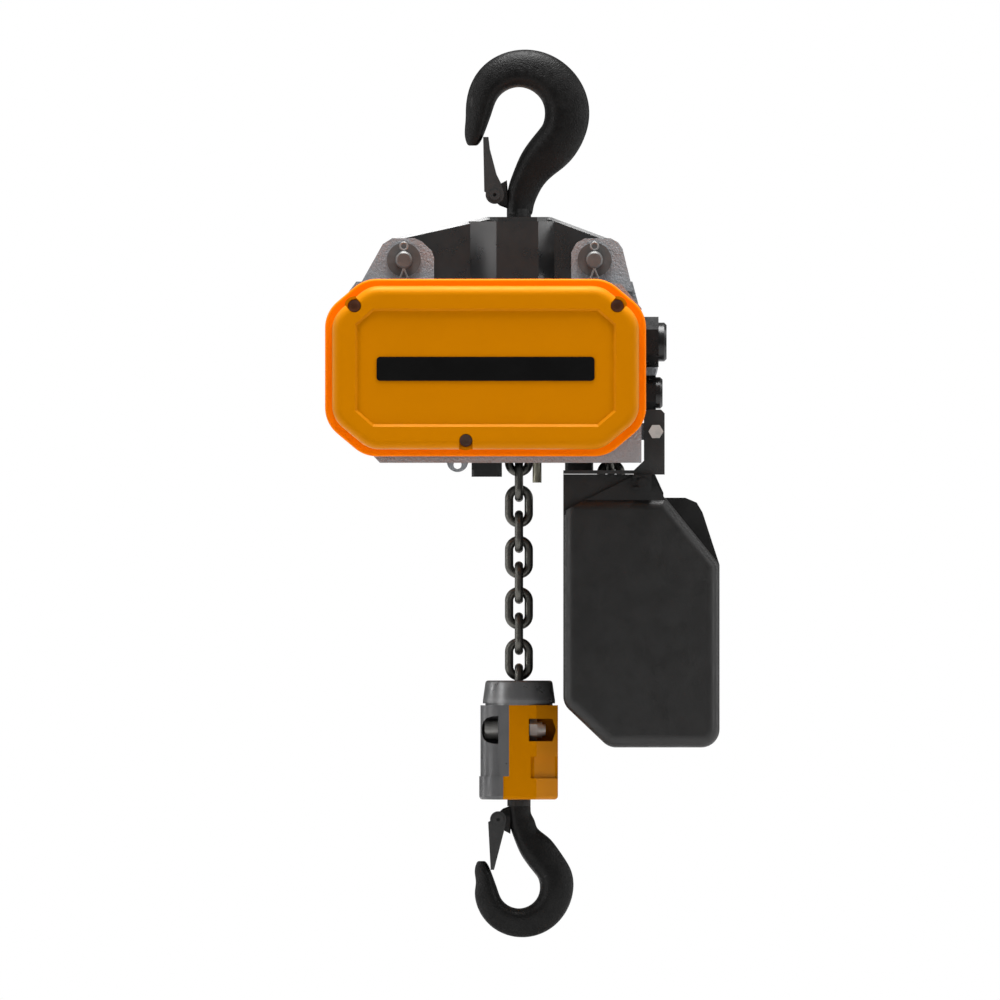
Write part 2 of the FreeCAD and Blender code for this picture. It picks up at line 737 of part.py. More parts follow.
def front_cover():
    cover = body("front_cover")
    width, height = D.cover_width, D.cover_height
    back, front = D.front_y, D.cover_front_y
    pad(cover, polygon, "XZ_Plane", [octagon(width, height, D.cover_cut_x, D.cover_cut_z)],
        back - D.cover_flange_depth, back)
    dress(cover, "Fillet", lambda edge: along(edge, FRONT), D.cover_corner)
    dress(cover, "Fillet", lambda edge: at_y(edge, back - D.cover_flange_depth), Size(2.0))
    inset = 2 * D.cover_flange
    pad(cover, polygon, "XZ_Plane",
        [octagon(width - inset, height - inset, D.cover_cut_x - 2.0, D.cover_cut_z - 2.0)], front, back - 4.0)
    long_edge = float(back - D.cover_flange_depth - 10.0 - front)
    dress(cover, "Fillet", lambda edge: along(edge, FRONT) and edge.Length > long_edge, D.cover_corner - 4.0)
    dress(cover, "Fillet", lambda edge: at_y(edge, front), D.cover_edge)
    panel = octagon(D.panel_width, D.panel_height, D.panel_cut_x, D.panel_cut_z)
    pocket(cover, polygon, "XZ_Plane", [panel], front, front + D.panel_depth)
    dress(cover, "Chamfer", lambda edge: at_y(edge, front) and in_panel(edge), D.panel_depth - 0.3)
    hollow = inset + 2 * D.cover_skin
    room = octagon(width - hollow, height - hollow, D.cover_cut_x - 3.0, D.cover_cut_z - 3.0)
    pocket(cover, polygon, "XZ_Plane", [room], front + D.cover_edge + 1.0, back)
    seat = D.screw_seat_y
    for (x, z), (aim_x, aim_z) in zip(SCREWS, RELIEFS):
        pad(cover, circle, "XZ_Plane", [(x, z), Size(8.0)], front + 8.0, back)
        pocket(cover, circle, "XZ_Plane", [(x, z), D.screw_bore_radius], front, seat)
        half, reach = D.screw_bore_radius, 14.0
        near = [(x - aim_z * half, z + aim_x * half), (x + aim_z * half, z - aim_x * half)]
        far = [(px + aim_x * reach, pz + aim_z * reach) for px, pz in reversed(near)]
        pocket(cover, polygon, "XZ_Plane", [near + far], front, seat - 8.0)
        pocket(cover, circle, "XZ_Plane", [(x, z), D.screw_radius + 0.3], seat, back)


def in_panel(edge):
    bounds = edge.BoundBox
    return bounds.XMin > float(D.cover_x - D.panel_width / 2) - 1 and bounds.XMax < float(
        D.cover_x + D.panel_width / 2) + 1


def name_plate():
    plate_body = body("name_plate")
    face = D.cover_front_y + D.panel_depth
    x, z = D.cover_x, D.cover_z - 1.0
    pad(plate_body, polygon, "XZ_Plane",
        [corners((x - D.plate_width / 2, x + D.plate_width / 2),
                 (z - D.plate_height / 2, z + D.plate_height / 2))],
        face - D.plate_gauge, face)
    dress(plate_body, "Fillet", lambda edge: along(edge, FRONT), Size(3.0))


def socket_screw(x, z, seat, depth):
    """Cap screw that points along +Y, with its head in front of a seat."""
    head = rod("Y", (x, z), D.screw_head_radius, seat - 6.0, seat)
    shaft = rod("Y", (x, z), D.screw_radius, seat, seat + depth)
    return minus(fused(head, shaft), hexagon("Y", (x, z), Size(5.0), seat - 6.0, seat - 3.0))


def cover_screws():
    group("cover_screws", [socket_screw(x, z, D.screw_seat_y, Size(52.0)) for x, z in SCREWS])


def rear_outline(grow):
    """The rear cover's rounded hexagon, grown outwards by a margin."""
    centre = (-20.0, float(D.cover_z))
    outline = [(115.0, -231.0), (97.0, -176.0), (80.0, -166.0), (-118.0, -166.0), (-138.0, -176.0),
               (-152.0, -231.0), (-138.0, -286.0), (-118.0, -296.0), (80.0, -296.0), (97.0, -286.0)]
    wide, tall = 1 + grow / 133.0, 1 + grow / 65.0
    return [(centre[0] + (x - centre[0]) * wide, centre[1] + (z - centre[1]) * tall) for x, z in outline]


def rear_cover():
    cover = body("rear_cover")
    start, end = D.motor_end_y, D.rear_cover_end_y
    pad(cover, polygon, "XZ_Plane", [rear_outline(0.0)], start, end)
    dress(cover, "Fillet", lambda edge: along(edge, FRONT), Size(12.0))
    dress(cover, "Fillet", lambda edge: at_y(edge, end), Size(9.0))
    room = pocket_from_front(cover, rear_outline(-4.0), start, end - 4.0)
    dress(cover, "Fillet", lambda edge: at_y(edge, end - 4.0), Size(5.0))
    return room


def pocket_from_front(owner, outline, near, far):
    return pocket(owner, polygon, "XZ_Plane", [outline], near, far)


def motor_housing():
    """Finned barrel between the gear case and the brake cover."""
    barrel = place(body("motor_housing"), (D.motor_x, 0.0, D.motor_z))
    centre = (0.0, 0.0)
    start, end = D.back_y + D.shield_gauge, D.motor_end_y - D.shield_gauge
    pad(barrel, circle, "XZ_Plane", [centre, D.motor_skin], start, end)
    fin = pad(barrel, polygon, "XZ_Plane",
              [corners((-1.3, 1.3), (D.motor_skin - 2.0, D.motor_fin))], start, end)
    fins = barrel.newObject("PartDesign::PolarPattern", "fins")
    fins.Originals = [fin]
    axis = circle(barrel, "XZ_Plane", centre, 1.0, start)
    fins.Axis = (axis, ["N_Axis"])
    fins.Angle = 360
    fins.Occurrences = 30
    barrel.Tip = fins
    doc.recompute()
    pocket(barrel, circle, "XZ_Plane", [centre, D.motor_bore], start, end)


def end_shields():
    """Bearing plates that close both ends of the motor barrel."""
    centre = (D.motor_x, D.motor_z)
    front = body("gear_case_plate")
    low, high = D.back_y, D.back_y + D.shield_gauge
    outline = [(-140.0, -268.0), (-112.0, -303.0), (96.0, -303.0), (96.0, -262.0), (108.0, D.shoulder_z),
               (91.0, -168.0), (-130.0, -168.0), (-140.0, -184.0)]
    pad(front, polygon, "XZ_Plane", [outline], low, high)
    dress(front, "Fillet", lambda edge: along(edge, FRONT), Size(6.0))
    pocket(front, circle, "XZ_Plane", [centre, Size(18.0)], low, high)
    pad(front, circle, "XZ_Plane", [(D.lay_x, D.lay_z), Size(17.0)], low - 5.0, low)
    pocket(front, circle, "XZ_Plane", [(D.lay_x, D.lay_z), Size(13.0)], low - 5.0, high - 3.0)
    back = body("brake_plate")
    low, high = D.motor_end_y - D.shield_gauge, D.motor_end_y
    pad(back, polygon, "XZ_Plane", [rear_outline(0.0)], low, high)
    dress(back, "Fillet", lambda edge: along(edge, FRONT), Size(12.0))
    pocket(back, circle, "XZ_Plane", [centre, Size(18.0)], low, high)


def bearings():
    """Ball bearings as one ring each, with running clearance on their shafts."""
    gap = D.running_gap
    motor = (D.motor_x, D.motor_z)
    made = [
        ring("Y", motor, Size(18.0), D.shaft_radius + gap, D.back_y, D.back_y + D.shield_gauge),
        ring("Y", motor, Size(18.0), D.shaft_radius + gap, D.motor_end_y - D.shield_gauge, D.motor_end_y),
    ]
    wheel = (D.wheel_x, D.wheel_z)
    lay = (D.lay_x, D.lay_z)
    made += [
        ring("Y", wheel, Size(17.5), Size(11.0) + gap, -D.wheel_half - 8.0, -D.wheel_half - 1.2),
        ring("Y", wheel, Size(17.5), Size(11.0) + gap, D.wheel_half + 1.4, D.gear_low_y - 2.0),
        ring("Y", lay, Size(13.0), Size(6.0) + gap, D.gear_low_y - 8.5, D.gear_low_y - 2.0),
        ring("Y", lay, Size(13.0), Size(6.0) + gap, D.back_y - 4.5, D.back_y + 4.0),
    ]
    group("ball_bearings", made)


def motor_parts():
    centre = (D.motor_x, D.motor_z)
    gap, end = 0.6, D.motor_end_y
    bore = D.rotor_radius + gap
    stack = ring("Y", centre, D.motor_bore, bore, Size(92.0), Size(156.0))
    node(stack, "stator_core")
    coils = [ring("Y", centre, D.motor_bore - 5.0, bore + 4.0, low, low + 18.0)
             for low in (Size(74.0), Size(156.0))]
    group("stator_windings", coils)
    node(ring("Y", centre, D.rotor_radius, D.shaft_radius, Size(92.0), Size(156.0)), "rotor_core")
    magnet = ring("Y", centre, Size(46.0), Size(15.0), end, end + 24.0)
    slot = ring("Y", centre, Size(38.0), Size(24.0), end + 8.0, end + 24.0)
    node(minus(magnet, slot), "brake_magnet")
    node(ring("Y", centre, Size(37.6), Size(24.4), end + 8.0, end + 22.0), "brake_coil")
    node(ring("Y", centre, Size(46.0), Size(14.0), end + 24.4, end + 30.0), "brake_armature")
    node(ring("Y", centre, Size(43.0), D.shaft_radius, end + 30.1, end + 37.0), "brake_disc")
    node(ring("Y", centre, Size(46.0), Size(13.0), end + 37.2, end + 43.0), "brake_flange")


# ---- gears ------------------------------------------------------------------------------------

def involute(radius, base):
    """Polar angle of an involute at a radius, from where it leaves its base circle."""
    if radius <= base:
        return 0.0
    pressure = math.acos(base / radius)
    return math.tan(pressure) - pressure


def gear_wheel(centre, module, teeth, low, high, tooth_angle, bore=0.0):
    """Spur gear with one tooth's middle at an angle about its axis; the flanks are involutes."""
    pitch = module * teeth / 2
    base = pitch * math.cos(math.radians(20))
    tip, root = pitch + 0.9 * module, pitch - 1.2 * module
    half = math.pi / (2 * teeth) - 0.10 / pitch + involute(pitch, base)
    radii = [root, max(base, root + 0.15 * module)]
    radii += [radii[1] + (tip - radii[1]) * step / 4 for step in range(1, 5)]
    points = []
    for tooth in range(teeth):
        middle = math.radians(tooth_angle) + 2 * math.pi * tooth / teeth
        flank = [(radius, half - involute(radius, base)) for radius in radii]
        for radius, offset in flank:
            points.append((radius, middle - offset))
        for radius, offset in reversed(flank):
            points.append((radius, middle + offset))
    x, z = centre
    ring_points = [Vector(x + r * math.cos(a), low, z + r * math.sin(a)) for r, a in points]
    made = Part.Face(Part.makePolygon(ring_points + ring_points[:1])).extrude(Vector(0, high - low, 0))
    if bore:
        made = made.cut(bar(bore, Vector(x, low - 1, z), Vector(x, high + 1, z)))
    return made


FINE_MODULE, COARSE_MODULE = 1.0, 1.5
PINION_TEETH, LAY_TEETH, LAY_PINION_TEETH, WHEEL_TEETH = 17, 85, 17, 68
POCKETS = 5


def bearing_angle(start, end):
    return math.degrees(math.atan2(end[1] - start[1], end[0] - start[0]))


def gear_train():
    """Motor pinion, layshaft and output gear, with a tooth of one in a gap of the next at rest."""
    motor = (float(D.motor_x), float(D.motor_z))
    lay = (float(D.lay_x), float(D.lay_z))
    wheel = (float(D.wheel_x), float(D.wheel_z))
    low, mid, high = float(D.gear_low_y), float(D.gear_mid_y), float(D.gear_high_y)
    shaft = float(D.shaft_radius)
    gap_turn = 180.0 / PINION_TEETH
    pinion = gear_wheel(motor, FINE_MODULE, PINION_TEETH, mid + 1.5, high + 1.0,
                        bearing_angle(motor, lay) + gap_turn)
    end = float(D.motor_end_y) + 40.0
    shaft_steps = [
        bar(6.0, Vector(motor[0], high + 1.0, motor[1]), Vector(motor[0], float(D.back_y) - 2.0, motor[1])),
        bar(shaft, Vector(motor[0], float(D.back_y) - 2.0, motor[1]), Vector(motor[0], end, motor[1])),
    ]
    solid("motor_shaft", pinion.fuse(shaft_steps).removeSplitter())
    solid("layshaft_gear", gear_wheel(lay, FINE_MODULE, LAY_TEETH, mid + 2.0, high,
                                      bearing_angle(lay, motor), 12.0))
    lay_pinion = gear_wheel(lay, COARSE_MODULE, LAY_PINION_TEETH, low, mid,
                            bearing_angle(lay, wheel) + 180.0 / LAY_PINION_TEETH)
    stem = bar(6.0, Vector(lay[0], low - 8.0, lay[1]), Vector(lay[0], float(D.back_y) + 3.5, lay[1]))
    seat = bar(12.0, Vector(lay[0], mid, lay[1]), Vector(lay[0], high, lay[1]))
    solid("layshaft", lay_pinion.fuse([stem, seat]).removeSplitter())
    solid("output_gear", gear_wheel(wheel, COARSE_MODULE, WHEEL_TEETH, low, mid - 1.5,
                                    bearing_angle(wheel, lay), 11.0))


def load_wheel():
    """Pocket wheel in one piece with its shaft.

    It has a groove for the links on edge and a seat between lugs for each flat link.
    """
    x, z = float(D.wheel_x), float(D.wheel_z)
    half = float(D.wheel_half)
    parts = [bar(19.4, Vector(x, -half, z), Vector(x, half, z))]
    for low, high in ((-half, -4.6), (4.6, half)):
        parts.append(bar(27.6, Vector(x, low, z), Vector(x, high, z)))
        for number in range(POCKETS):
            middle = math.pi + 2 * math.pi * (number + 0.5) / POCKETS
            reach = Vector(math.cos(middle), 0, math.sin(middle))
            side = Vector(-math.sin(middle), 0, math.cos(middle))
            profile = [(22.0, 6.0), (27.8, 3.4), (29.6, 2.5), (34.0, 1.5)]
            lug = [reach * out - side * wide for out, wide in profile]
            lug += [reach * out + side * wide for out, wide in reversed(profile)]
            base = Vector(x, low, z)
            wire = Part.makePolygon([base + point for point in lug + lug[:1]])
            parts.append(Part.Face(wire).extrude(Vector(0, high - low, 0)))
    parts.append(bar(11.0, Vector(x, -half - 8.5, z), Vector(x, float(D.gear_mid_y) - 1.5, z)))
    solid("load_wheel", parts[0].fuse(parts[1:]).removeSplitter())


# ---- chain ------------------------------------------------------------------------------------

def link_shape():
    """One link in the XZ plane about the origin, its long axis along Z."""
    wire, width = float(D.chain_wire), float(D.link_width)
    bend = (width - wire) / 2
    straight = (float(D.chain_pitch) + 0.3 + 2 * wire - width) / 2
    path = Part.Wire([
        Part.makeLine(Vector(bend, 0, -straight), Vector(bend, 0, straight)),
        Part.Arc(Vector(bend, 0, straight), Vector(0, 0, straight + bend),
                 Vector(-bend, 0, straight)).toShape(),
        Part.makeLine(Vector(-bend, 0, straight), Vector(-bend, 0, -straight)),
        Part.Arc(Vector(-bend, 0, -straight), Vector(0, 0, -straight - bend),
                 Vector(bend, 0, -straight)).toShape(),
    ])
    section = Part.Wire([Part.makeCircle(wire / 2, Vector(bend, 0, -straight), Vector(0, 0, 1))])
    return path.makePipeShell([section], True, True)


LINK = link_shape()


def link_at(centre, lean, on_edge):
    """A link at a place, leaning about Y, either in the XZ plane or turned a quarter about its length."""
    made = LINK.copy()
    turn = Rotation(Vector(0, 1, 0), lean).multiply(Rotation(Vector(0, 0, 1), 0 if on_edge else 90))
    made.Placement = Placement(Vector(*centre), turn)
    return made


# From a link's middle to where it turns on the next one: a link on edge turns on its
# neighbour's wire inside its own bow, and a flat link on its own bow.
EDGE_REACH, FLAT_REACH = 7.1, 14.1


def chain():
    """The hanging strand, the links round the wheel, and the slack strand down into the container."""
    pitch = float(D.chain_pitch)
    x, z = float(D.wheel_x), float(D.wheel_z)
    hanging = [link_at((0, 0, z - pitch * step), 0, step % 2 == 1) for step in range(3, 13)]
    solid("load_chain_top", Part.makeCompound(hanging[:3]))
    solid("load_chain", Part.makeCompound(hanging[3:]))
    over = [link_at((0, 0, z - pitch * step), 0, step % 2 == 1) for step in (2, 1)]
    turn = 180.0 / POCKETS
    for step in range(POCKETS + 1):
        angle = math.radians(180 - turn * step)
        on_edge = step % 2 == 1
        radius = x if not on_edge else x + 2.27
        over.append(link_at((x + radius * math.cos(angle), 0, z + radius * math.sin(angle)),
                            turn * step, on_edge))
    spot = Vector(x + x + 2.27, 0, z - EDGE_REACH)
    side = (float(D.slack_x) - spot.x) / (2 * (FLAT_REACH + EDGE_REACH + FLAT_REACH))
    down = Vector(side, 0, -math.sqrt(1 - side * side))
    lean = math.degrees(math.asin(-side))
    for on_edge in (False, True, False):
        half = EDGE_REACH if on_edge else FLAT_REACH
        over.append(link_at(spot + down * half, lean, on_edge))
        spot += down * (2 * half)
    solid("wheel_chain", Part.makeCompound(over))
    slack = [link_at((spot.x, 0, spot.z - EDGE_REACH - 21.2 * step), 0, step % 2 == 0) for step in range(9)]
    floor = float(D.box_low_z) + 8.0 + float(D.link_width) / 2 + 0.2
    for row in (-26, 0, 26):
        for step in range(3):
            slack.append(link_at((96.0 + pitch * step, row, floor), 90, step % 2 == 1))
    solid("slack_chain", Part.makeCompound(slack))


# ---- limit pin, outlets and glands ------------------------------------------------------------

STRIPPER_X = (D.channel_half, Size(22.0))
STRIPPER_Y = (Size(-3.6), Size(3.6))


def underside():
    low = D.housing_bottom_z
    pin = rod("Z", (D.limit_x, D.limit_y), D.limit_radius, D.limit_low_z, low + 20.2)
    collar = rod("Z", (D.limit_x, D.limit_y), D.limit_radius + 2.0, low + D.wall + 0.1, low + D.wall + 4.0)
    node(fused(pin, collar), "limit_pin")
    box = brick((Size(8.0), Size(22.0)), (Size(-27.4), Size(-15.8)), (low + 27.0, low + 51.0))
    lever = brick((Size(10.0), Size(19.0)), (Size(-24.0), Size(-19.0)), (low + 24.5, low + 27.0))
    node(fused(box, lever), "limit_switch")
    left = body("chain_guide_left")
    block(left, (-39.0, -14.0), (-24.0, 24.0), (low - 11.5, low))
    dress(left, "Fillet", lambda edge: along(edge, UP), Size(3.1))
    block(left, (-39.0, -14.0), (-24.0, 24.0), (low - 5.7, low))
    right = body("chain_guide_right")
    block(right, (37.9, 61.2), (-24.0, 24.0), (low - 8.3, low))
    dress(right, "Fillet", lambda edge: along(edge, UP), Size(3.0))
    throat = body("chain_inlet")
    half = D.channel_half
    pad(throat, polygon, "XY_Plane", [corners((-half, half), (-half, half))], low, low + 9.0)
    pocket(throat, polygon, "XY_Plane", [corners((-12.6, 12.6), (-4.2, 4.2))], low, low + 9.0)
    pocket(throat, polygon, "XY_Plane", [corners((-4.2, 4.2), (-12.6, 12.6))], low, low + 9.0)
    tongue = brick(STRIPPER_X, STRIPPER_Y, (D.wheel_z - 62.0, D.wheel_z - 18.0))
    node(tongue, "chain_stripper")


def cable_gland(z, flats, cap_radius, reach, entry):
    """Threaded hexagon body with its domed sealing nut and the rubber insert, along +X."""
    start = D.housing_right_x
    centre = (D.gland_y, z)
    split = start + reach * 0.68
    hexa = hexagon("X", centre, Size(flats), start, split)
    stem = rod("X", centre, entry, start - 12.0, start)
    dome = fused(rod("X", centre, Size(cap_radius), split, start + reach - 2.0),
                 cone("X", centre, Size(cap_radius), Size(cap_radius - 2.0),
                      start + reach - 2.0, start + reach))
    bore = entry - 4.0
    hole = rod("X", centre, bore, start - 12.0, start + reach)
    return minus(fused(hexa, stem), hole), minus(dome, rod("X", centre, bore, split, start + reach))


def glands():
    for label, z, flats, cap, reach, entry in (
            ("upper_gland", D.gland_high_z, 36.0, 16.0, 20.7, Size(12.5)),
            ("lower_gland", D.gland_low_z, 25.0, 13.0, 17.4, Size(8.5))):
        group(label, cable_gland(z, flats, cap, reach, entry))


def control_parts():
    board_y = D.front_y + 10.0
    board = brick((Size(-132.0), Size(60.0)), (board_y, board_y + 1.6), (Size(-262.0), Size(-196.0)))
    posts = [rod("Y", (x, z), Size(3.0), board_y + 1.6, D.mid_y - D.wall)
             for x in (Size(-126.0), Size(54.0)) for z in (Size(-256.0), Size(-202.0))]
    node(fused(board, *posts), "control_board")
    unit = fused(brick((Size(-118.0), Size(-64.0)), (board_y - 40.0, board_y), (Size(-252.0), Size(-206.0))),
                 brick((Size(-114.0), Size(-68.0)), (board_y - 44.0, board_y - 40.0),
                       (Size(-240.0), Size(-218.0))))
    node(unit, "contactor")


# ---- chain container --------------------------------------------------------------------------

BRACKET_BOLT = (112.8, -283.5)
CLAMP_BOLT = (101.8, -325.4)


def container():
    frame = body("container_bracket")
    low = -319.0
    y_near, y_far = Size(-52.0), Size(-49.0)
    outline = [(102.9, -268.5), (105.5, -265.4), (117.0, -265.4), (120.0, -268.5), (120.0, low),
               (94.6, low), (94.6, -315.4), (102.9, -307.6)]
    pad(frame, polygon, "XZ_Plane", [outline], y_near, y_far)
    block(frame, (36.5, 120.0), (-52.0, -44.0), (-318.4, -315.4))
    cut_block(frame, (39.0, 62.0), (-45.5, -43.0), (-319.0, -315.0))
    pocket(frame, circle, "XZ_Plane", [BRACKET_BOLT, Size(3.0)], y_near, y_far)
    bolts = [
        fused(rod("Y", BRACKET_BOLT, Size(3.0), y_near, Size(-42.0)),
              hexagon("Y", BRACKET_BOLT, Size(10.7), y_near - 4.5, y_near)),
        fused(rod("Y", CLAMP_BOLT, Size(3.0), Size(-58.0), Size(-43.0)),
              rod("Y", CLAMP_BOLT, Size(3.9), Size(-61.0), Size(-58.0))),
    ]
    group("bracket_bolts", bolts)
    bin_body = body("chain_container")
    half = D.box_half_depth
    left, right, bottom, top = D.box_left_x, D.box_right_x, D.box_low_z, D.box_top_z
    outer = [(left, top), (left, -508.0), (74.0, bottom), (right, bottom), (right, -393.2), (120.7, top)]
    pad(bin_body, polygon, "XZ_Plane", [outer], -half, half)
    rear = [(120.7, top), (right, -393.2), (151.2, -350.1), (146.4, -342.0), (137.0, top)]
    pad(bin_body, polygon, "XZ_Plane", [rear], Size(8.0), half)
    dress(bin_body, "Fillet", lambda edge: along(edge, FRONT) and edge.BoundBox.ZMax < -500, Size(15.0))
    dress(bin_body, "Fillet", lambda edge: at_y(edge, -half), Size(10.0))
    dress(bin_body, "Fillet", lambda edge: at_y(edge, half), Size(9.0))
    skin = D.box_skin + 6.0
    inner = [(left + skin, top), (left + skin, -504.0), (78.0, bottom + 8.0), (right - 8.0, bottom + 8.0),
             (right - 8.0, -398.0), (117.0, top)]
    pocket(bin_body, polygon, "XZ_Plane", [inner], -half + 8.0, half - 8.0)
    apron = [(left, -352.0), (left, -318.7), (112.0, -318.7), (119.0, -334.0), (119.0, -352.0)]
    pad(bin_body, polygon, "XZ_Plane", [apron], -half + 7.0, -half + 10.0)
    corner = [(left - 2.0, -351.6), (left + 1.4, -349.0), (44.6, -344.9), (59.3, -337.6), (59.3, -330.0),
              (left - 2.0, -330.0)]
    pocket(bin_body, polygon, "XZ_Plane", [corner], -half - 1.0, -half + 7.0)
    ear = [(left + 0.4, -352.0), (left + 1.4, -349.0), (44.6, -344.9), (94.4, -320.1), (97.0, -318.9),
           (107.0, -318.9), (110.5, -322.0), (120.4, -339.0), (120.4, -352.0)]
    pad(bin_body, polygon, "XZ_Plane", [ear], -half + 4.0, -half + 7.5)
    pocket(bin_body, circle, "XZ_Plane", [CLAMP_BOLT, Size(3.1)], -half + 3.0, -half + 11.0)
    clamp = brick((Size(93.7), Size(109.4)), (Size(-58.0), Size(-48.0)), (Size(-332.0), Size(-319.0)))
    slot = brick((Size(93.6), Size(99.0)), (Size(-58.1), Size(-55.0)), (Size(-329.2), Size(-321.6)))
    clamp = minus(clamp, slot)
    node(minus(clamp, rod("Y", CLAMP_BOLT, Size(3.0), Size(-58.0), Size(-48.0))), "container_clamp")


# ---- hook block -------------------------------------------------------------------------------

def hook_block():
    cap = body("block_cap")
    low, top = D.cap_low_z, D.cap_top_z
    revolve(cap, "XZ_Plane", [(0.0, low - 1.5), (27.7, low - 1.5), (27.7, low), (D.cap_low_radius, low),
                              (D.cap_low_radius, low + 2.5), (D.cap_top_radius, top), (0.0, top)], "V_Axis")
    dress(cap, "Fillet", lambda edge: at_z(edge, top), Size(2.5))
    pocket(cap, circle, "XY_Plane", [(0.0, 0.0), Size(12.6)], low - 1.5, top)
    half = D.block_half_depth
    seam, ztop, zlow = D.block_seam_x, D.block_top_z, D.block_low_z
    bolt = (0.0, D.block_bolt_z)
    step, low_seam = D.block_step_z, D.block_low_seam_x
    left, right = D.block_left_x, D.block_right_x
    grey = body("block_left_shell")
    pad(grey, polygon, "XY_Plane", [corners((left, seam), (-half, half))], step, ztop)
    pad(grey, polygon, "XY_Plane", [corners((left - 1.0, low_seam), (-half - 0.6, half + 0.6))], zlow, step)
    dress(grey, "Fillet", lambda edge: along(edge, UP) and edge.BoundBox.XMax < -31, Size(17.0))
    dress(grey, "Fillet", lambda edge: at_z(edge, zlow) and not on_seam(edge, low_seam), Size(3.0))
    orange = body("block_right_shell")
    plan = [(14.4, -half), (right, -half + 17.0), (right, half - 17.0), (14.4, half)]
    pad(orange, polygon, "XY_Plane", [[(seam, -half)] + plan + [(seam, half)]], step, ztop)
    pad(orange, polygon, "XY_Plane", [[(low_seam, -half)] + plan + [(low_seam, half)]], zlow, step)
    dress(orange, "Fillet", lambda edge: at_z(edge, zlow) and not on_seam(edge, low_seam), Size(3.0))
    for shell in (grey, orange):
        pocket(shell, circle, "XY_Plane", [(0.0, 0.0), Size(12.8)], zlow + 40.0, ztop)
        pocket(shell, circle, "XY_Plane", [(0.0, 0.0), Size(16.6)], zlow + 14.0, zlow + 34.0)
        pocket(shell, circle, "YZ_Plane", [bolt, D.block_bolt_radius], Size(-24.0), Size(12.0))
    pocket(orange, circle, "XY_Plane", [(0.0, 0.0), D.load_shank_radius + 0.06], zlow - 1.0, zlow + 14.5)
    z = D.block_bolt_z
    upper = [(-17.0, 11.4), (-22.0, 11.2), (-26.5, 9.9), (-29.3, 7.0), (-30.5, 3.0)]
    window = [(x, z + rise) for x, rise in upper] + [(x, z - rise) for x, rise in reversed(upper)]
    pocket(grey, polygon, "XZ_Plane", [window], -half - 1.0, Size(8.4))
    window = [(8.2, z - 9.3), (27.5, z - 9.3), (30.6, z), (27.5, z + 9.3), (8.2, z + 9.3)]
    pocket(orange, polygon, "XZ_Plane", [window], -half - 1.0, Size(9.3))
    for side in (-1, 1):
        notch = [(9.7, side * (half + 1.0)), (9.7, side * (half - 4.0)), (12.6, side * (half - 4.0)),
                 (30.0, side * (half - 20.7)), (33.1, side * (half - 20.7)), (33.1, side * (half + 1.0))]
        pocket(orange, polygon, "XY_Plane", [notch], Size(-569.2), Size(-551.2))
    shaft = rod("X", bolt, D.block_bolt_radius, Size(-18.0), Size(22.0))
    head = rod("X", bolt, Size(8.0), Size(-28.2), Size(-17.2))
    socket = hexagon("X", bolt, Size(8.0), Size(-28.2), Size(-23.2))
    nut = fused(hexagon("X", bolt, Size(16.0), Size(9.0), Size(15.0)),
                rod("X", bolt, Size(6.8), Size(15.0), Size(19.2)))
    thread = rod("X", bolt, D.block_bolt_radius, Size(9.0), Size(19.2))
    group("block_bolt", [minus(fused(shaft, head), socket), minus(nut, thread)])


def on_seam(edge, seam):
    bounds = edge.BoundBox
    return abs(bounds.XMin - seam) < 1e-3 and abs(bounds.XMax - seam) < 1e-3


# ---- the whole hoist --------------------------------------------------------------------------

def finish():
    doc.recompute()
    for thing in doc.Objects:
        faults = [state for state in thing.State if state in ("Invalid", "Error")]
        if faults:
            raise RuntimeError(f"{thing.Label} is {faults}")
    os.makedirs("parts", exist_ok=True)
    for piece in NODES:
        if piece.Shape.isNull() or not piece.Shape.isValid():
            raise RuntimeError(f"{piece.Label} has no valid shape")
    for piece in NODES:
        piece.Shape.exportStep(f"parts/{piece.Label}.step")


for make in (suspension_hook, suspension_beam, pins_and_washers, chain_housing, front_cover, name_plate,
             cover_screws, rear_cover, motor_housing, end_shields, bearings, motor_parts, gear_train,
             load_wheel, chain, underside, glands, control_parts, container, hook_block, load_hook):
    make()
finish()
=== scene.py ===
import json
import math

import bpy
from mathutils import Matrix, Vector


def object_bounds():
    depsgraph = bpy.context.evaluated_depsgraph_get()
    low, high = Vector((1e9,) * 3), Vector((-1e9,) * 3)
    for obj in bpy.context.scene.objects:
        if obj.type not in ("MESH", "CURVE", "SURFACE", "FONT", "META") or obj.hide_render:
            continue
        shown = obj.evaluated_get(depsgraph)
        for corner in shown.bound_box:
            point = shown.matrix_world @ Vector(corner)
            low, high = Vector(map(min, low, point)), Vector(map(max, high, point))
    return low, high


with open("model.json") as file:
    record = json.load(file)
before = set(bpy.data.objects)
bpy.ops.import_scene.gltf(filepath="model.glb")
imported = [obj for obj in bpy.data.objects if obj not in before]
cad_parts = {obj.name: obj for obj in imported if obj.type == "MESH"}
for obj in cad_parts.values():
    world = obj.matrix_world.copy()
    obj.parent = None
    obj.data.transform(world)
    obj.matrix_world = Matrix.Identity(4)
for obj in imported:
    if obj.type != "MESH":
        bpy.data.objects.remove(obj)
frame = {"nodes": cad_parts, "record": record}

# An electric chain hoist seen straight from the front, on a white background under soft studio
# light. Metres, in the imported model's frame. Every CAD node keeps its shape and gets its finish
# here, and nothing is added to the hoist.

cad_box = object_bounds()
nodes = frame["nodes"]
scene = bpy.context.scene
scene.view_settings.view_transform = "Standard"

VIEW_SIZE = 0.8235
VIEW_CENTRE = Vector((-0.0156, 0.0, -0.3399))
CAMERA_DISTANCE = 4.0
CAMERA_REACH = 50

SMOOTH_ANGLE = math.radians(32)

# Strength of the grey sky straight below and straight above the hoist.
SKY_LOW, SKY_HIGH = 0.10, 0.34

FLOOR_DROP = 0.12
FLOOR_HALF = 4


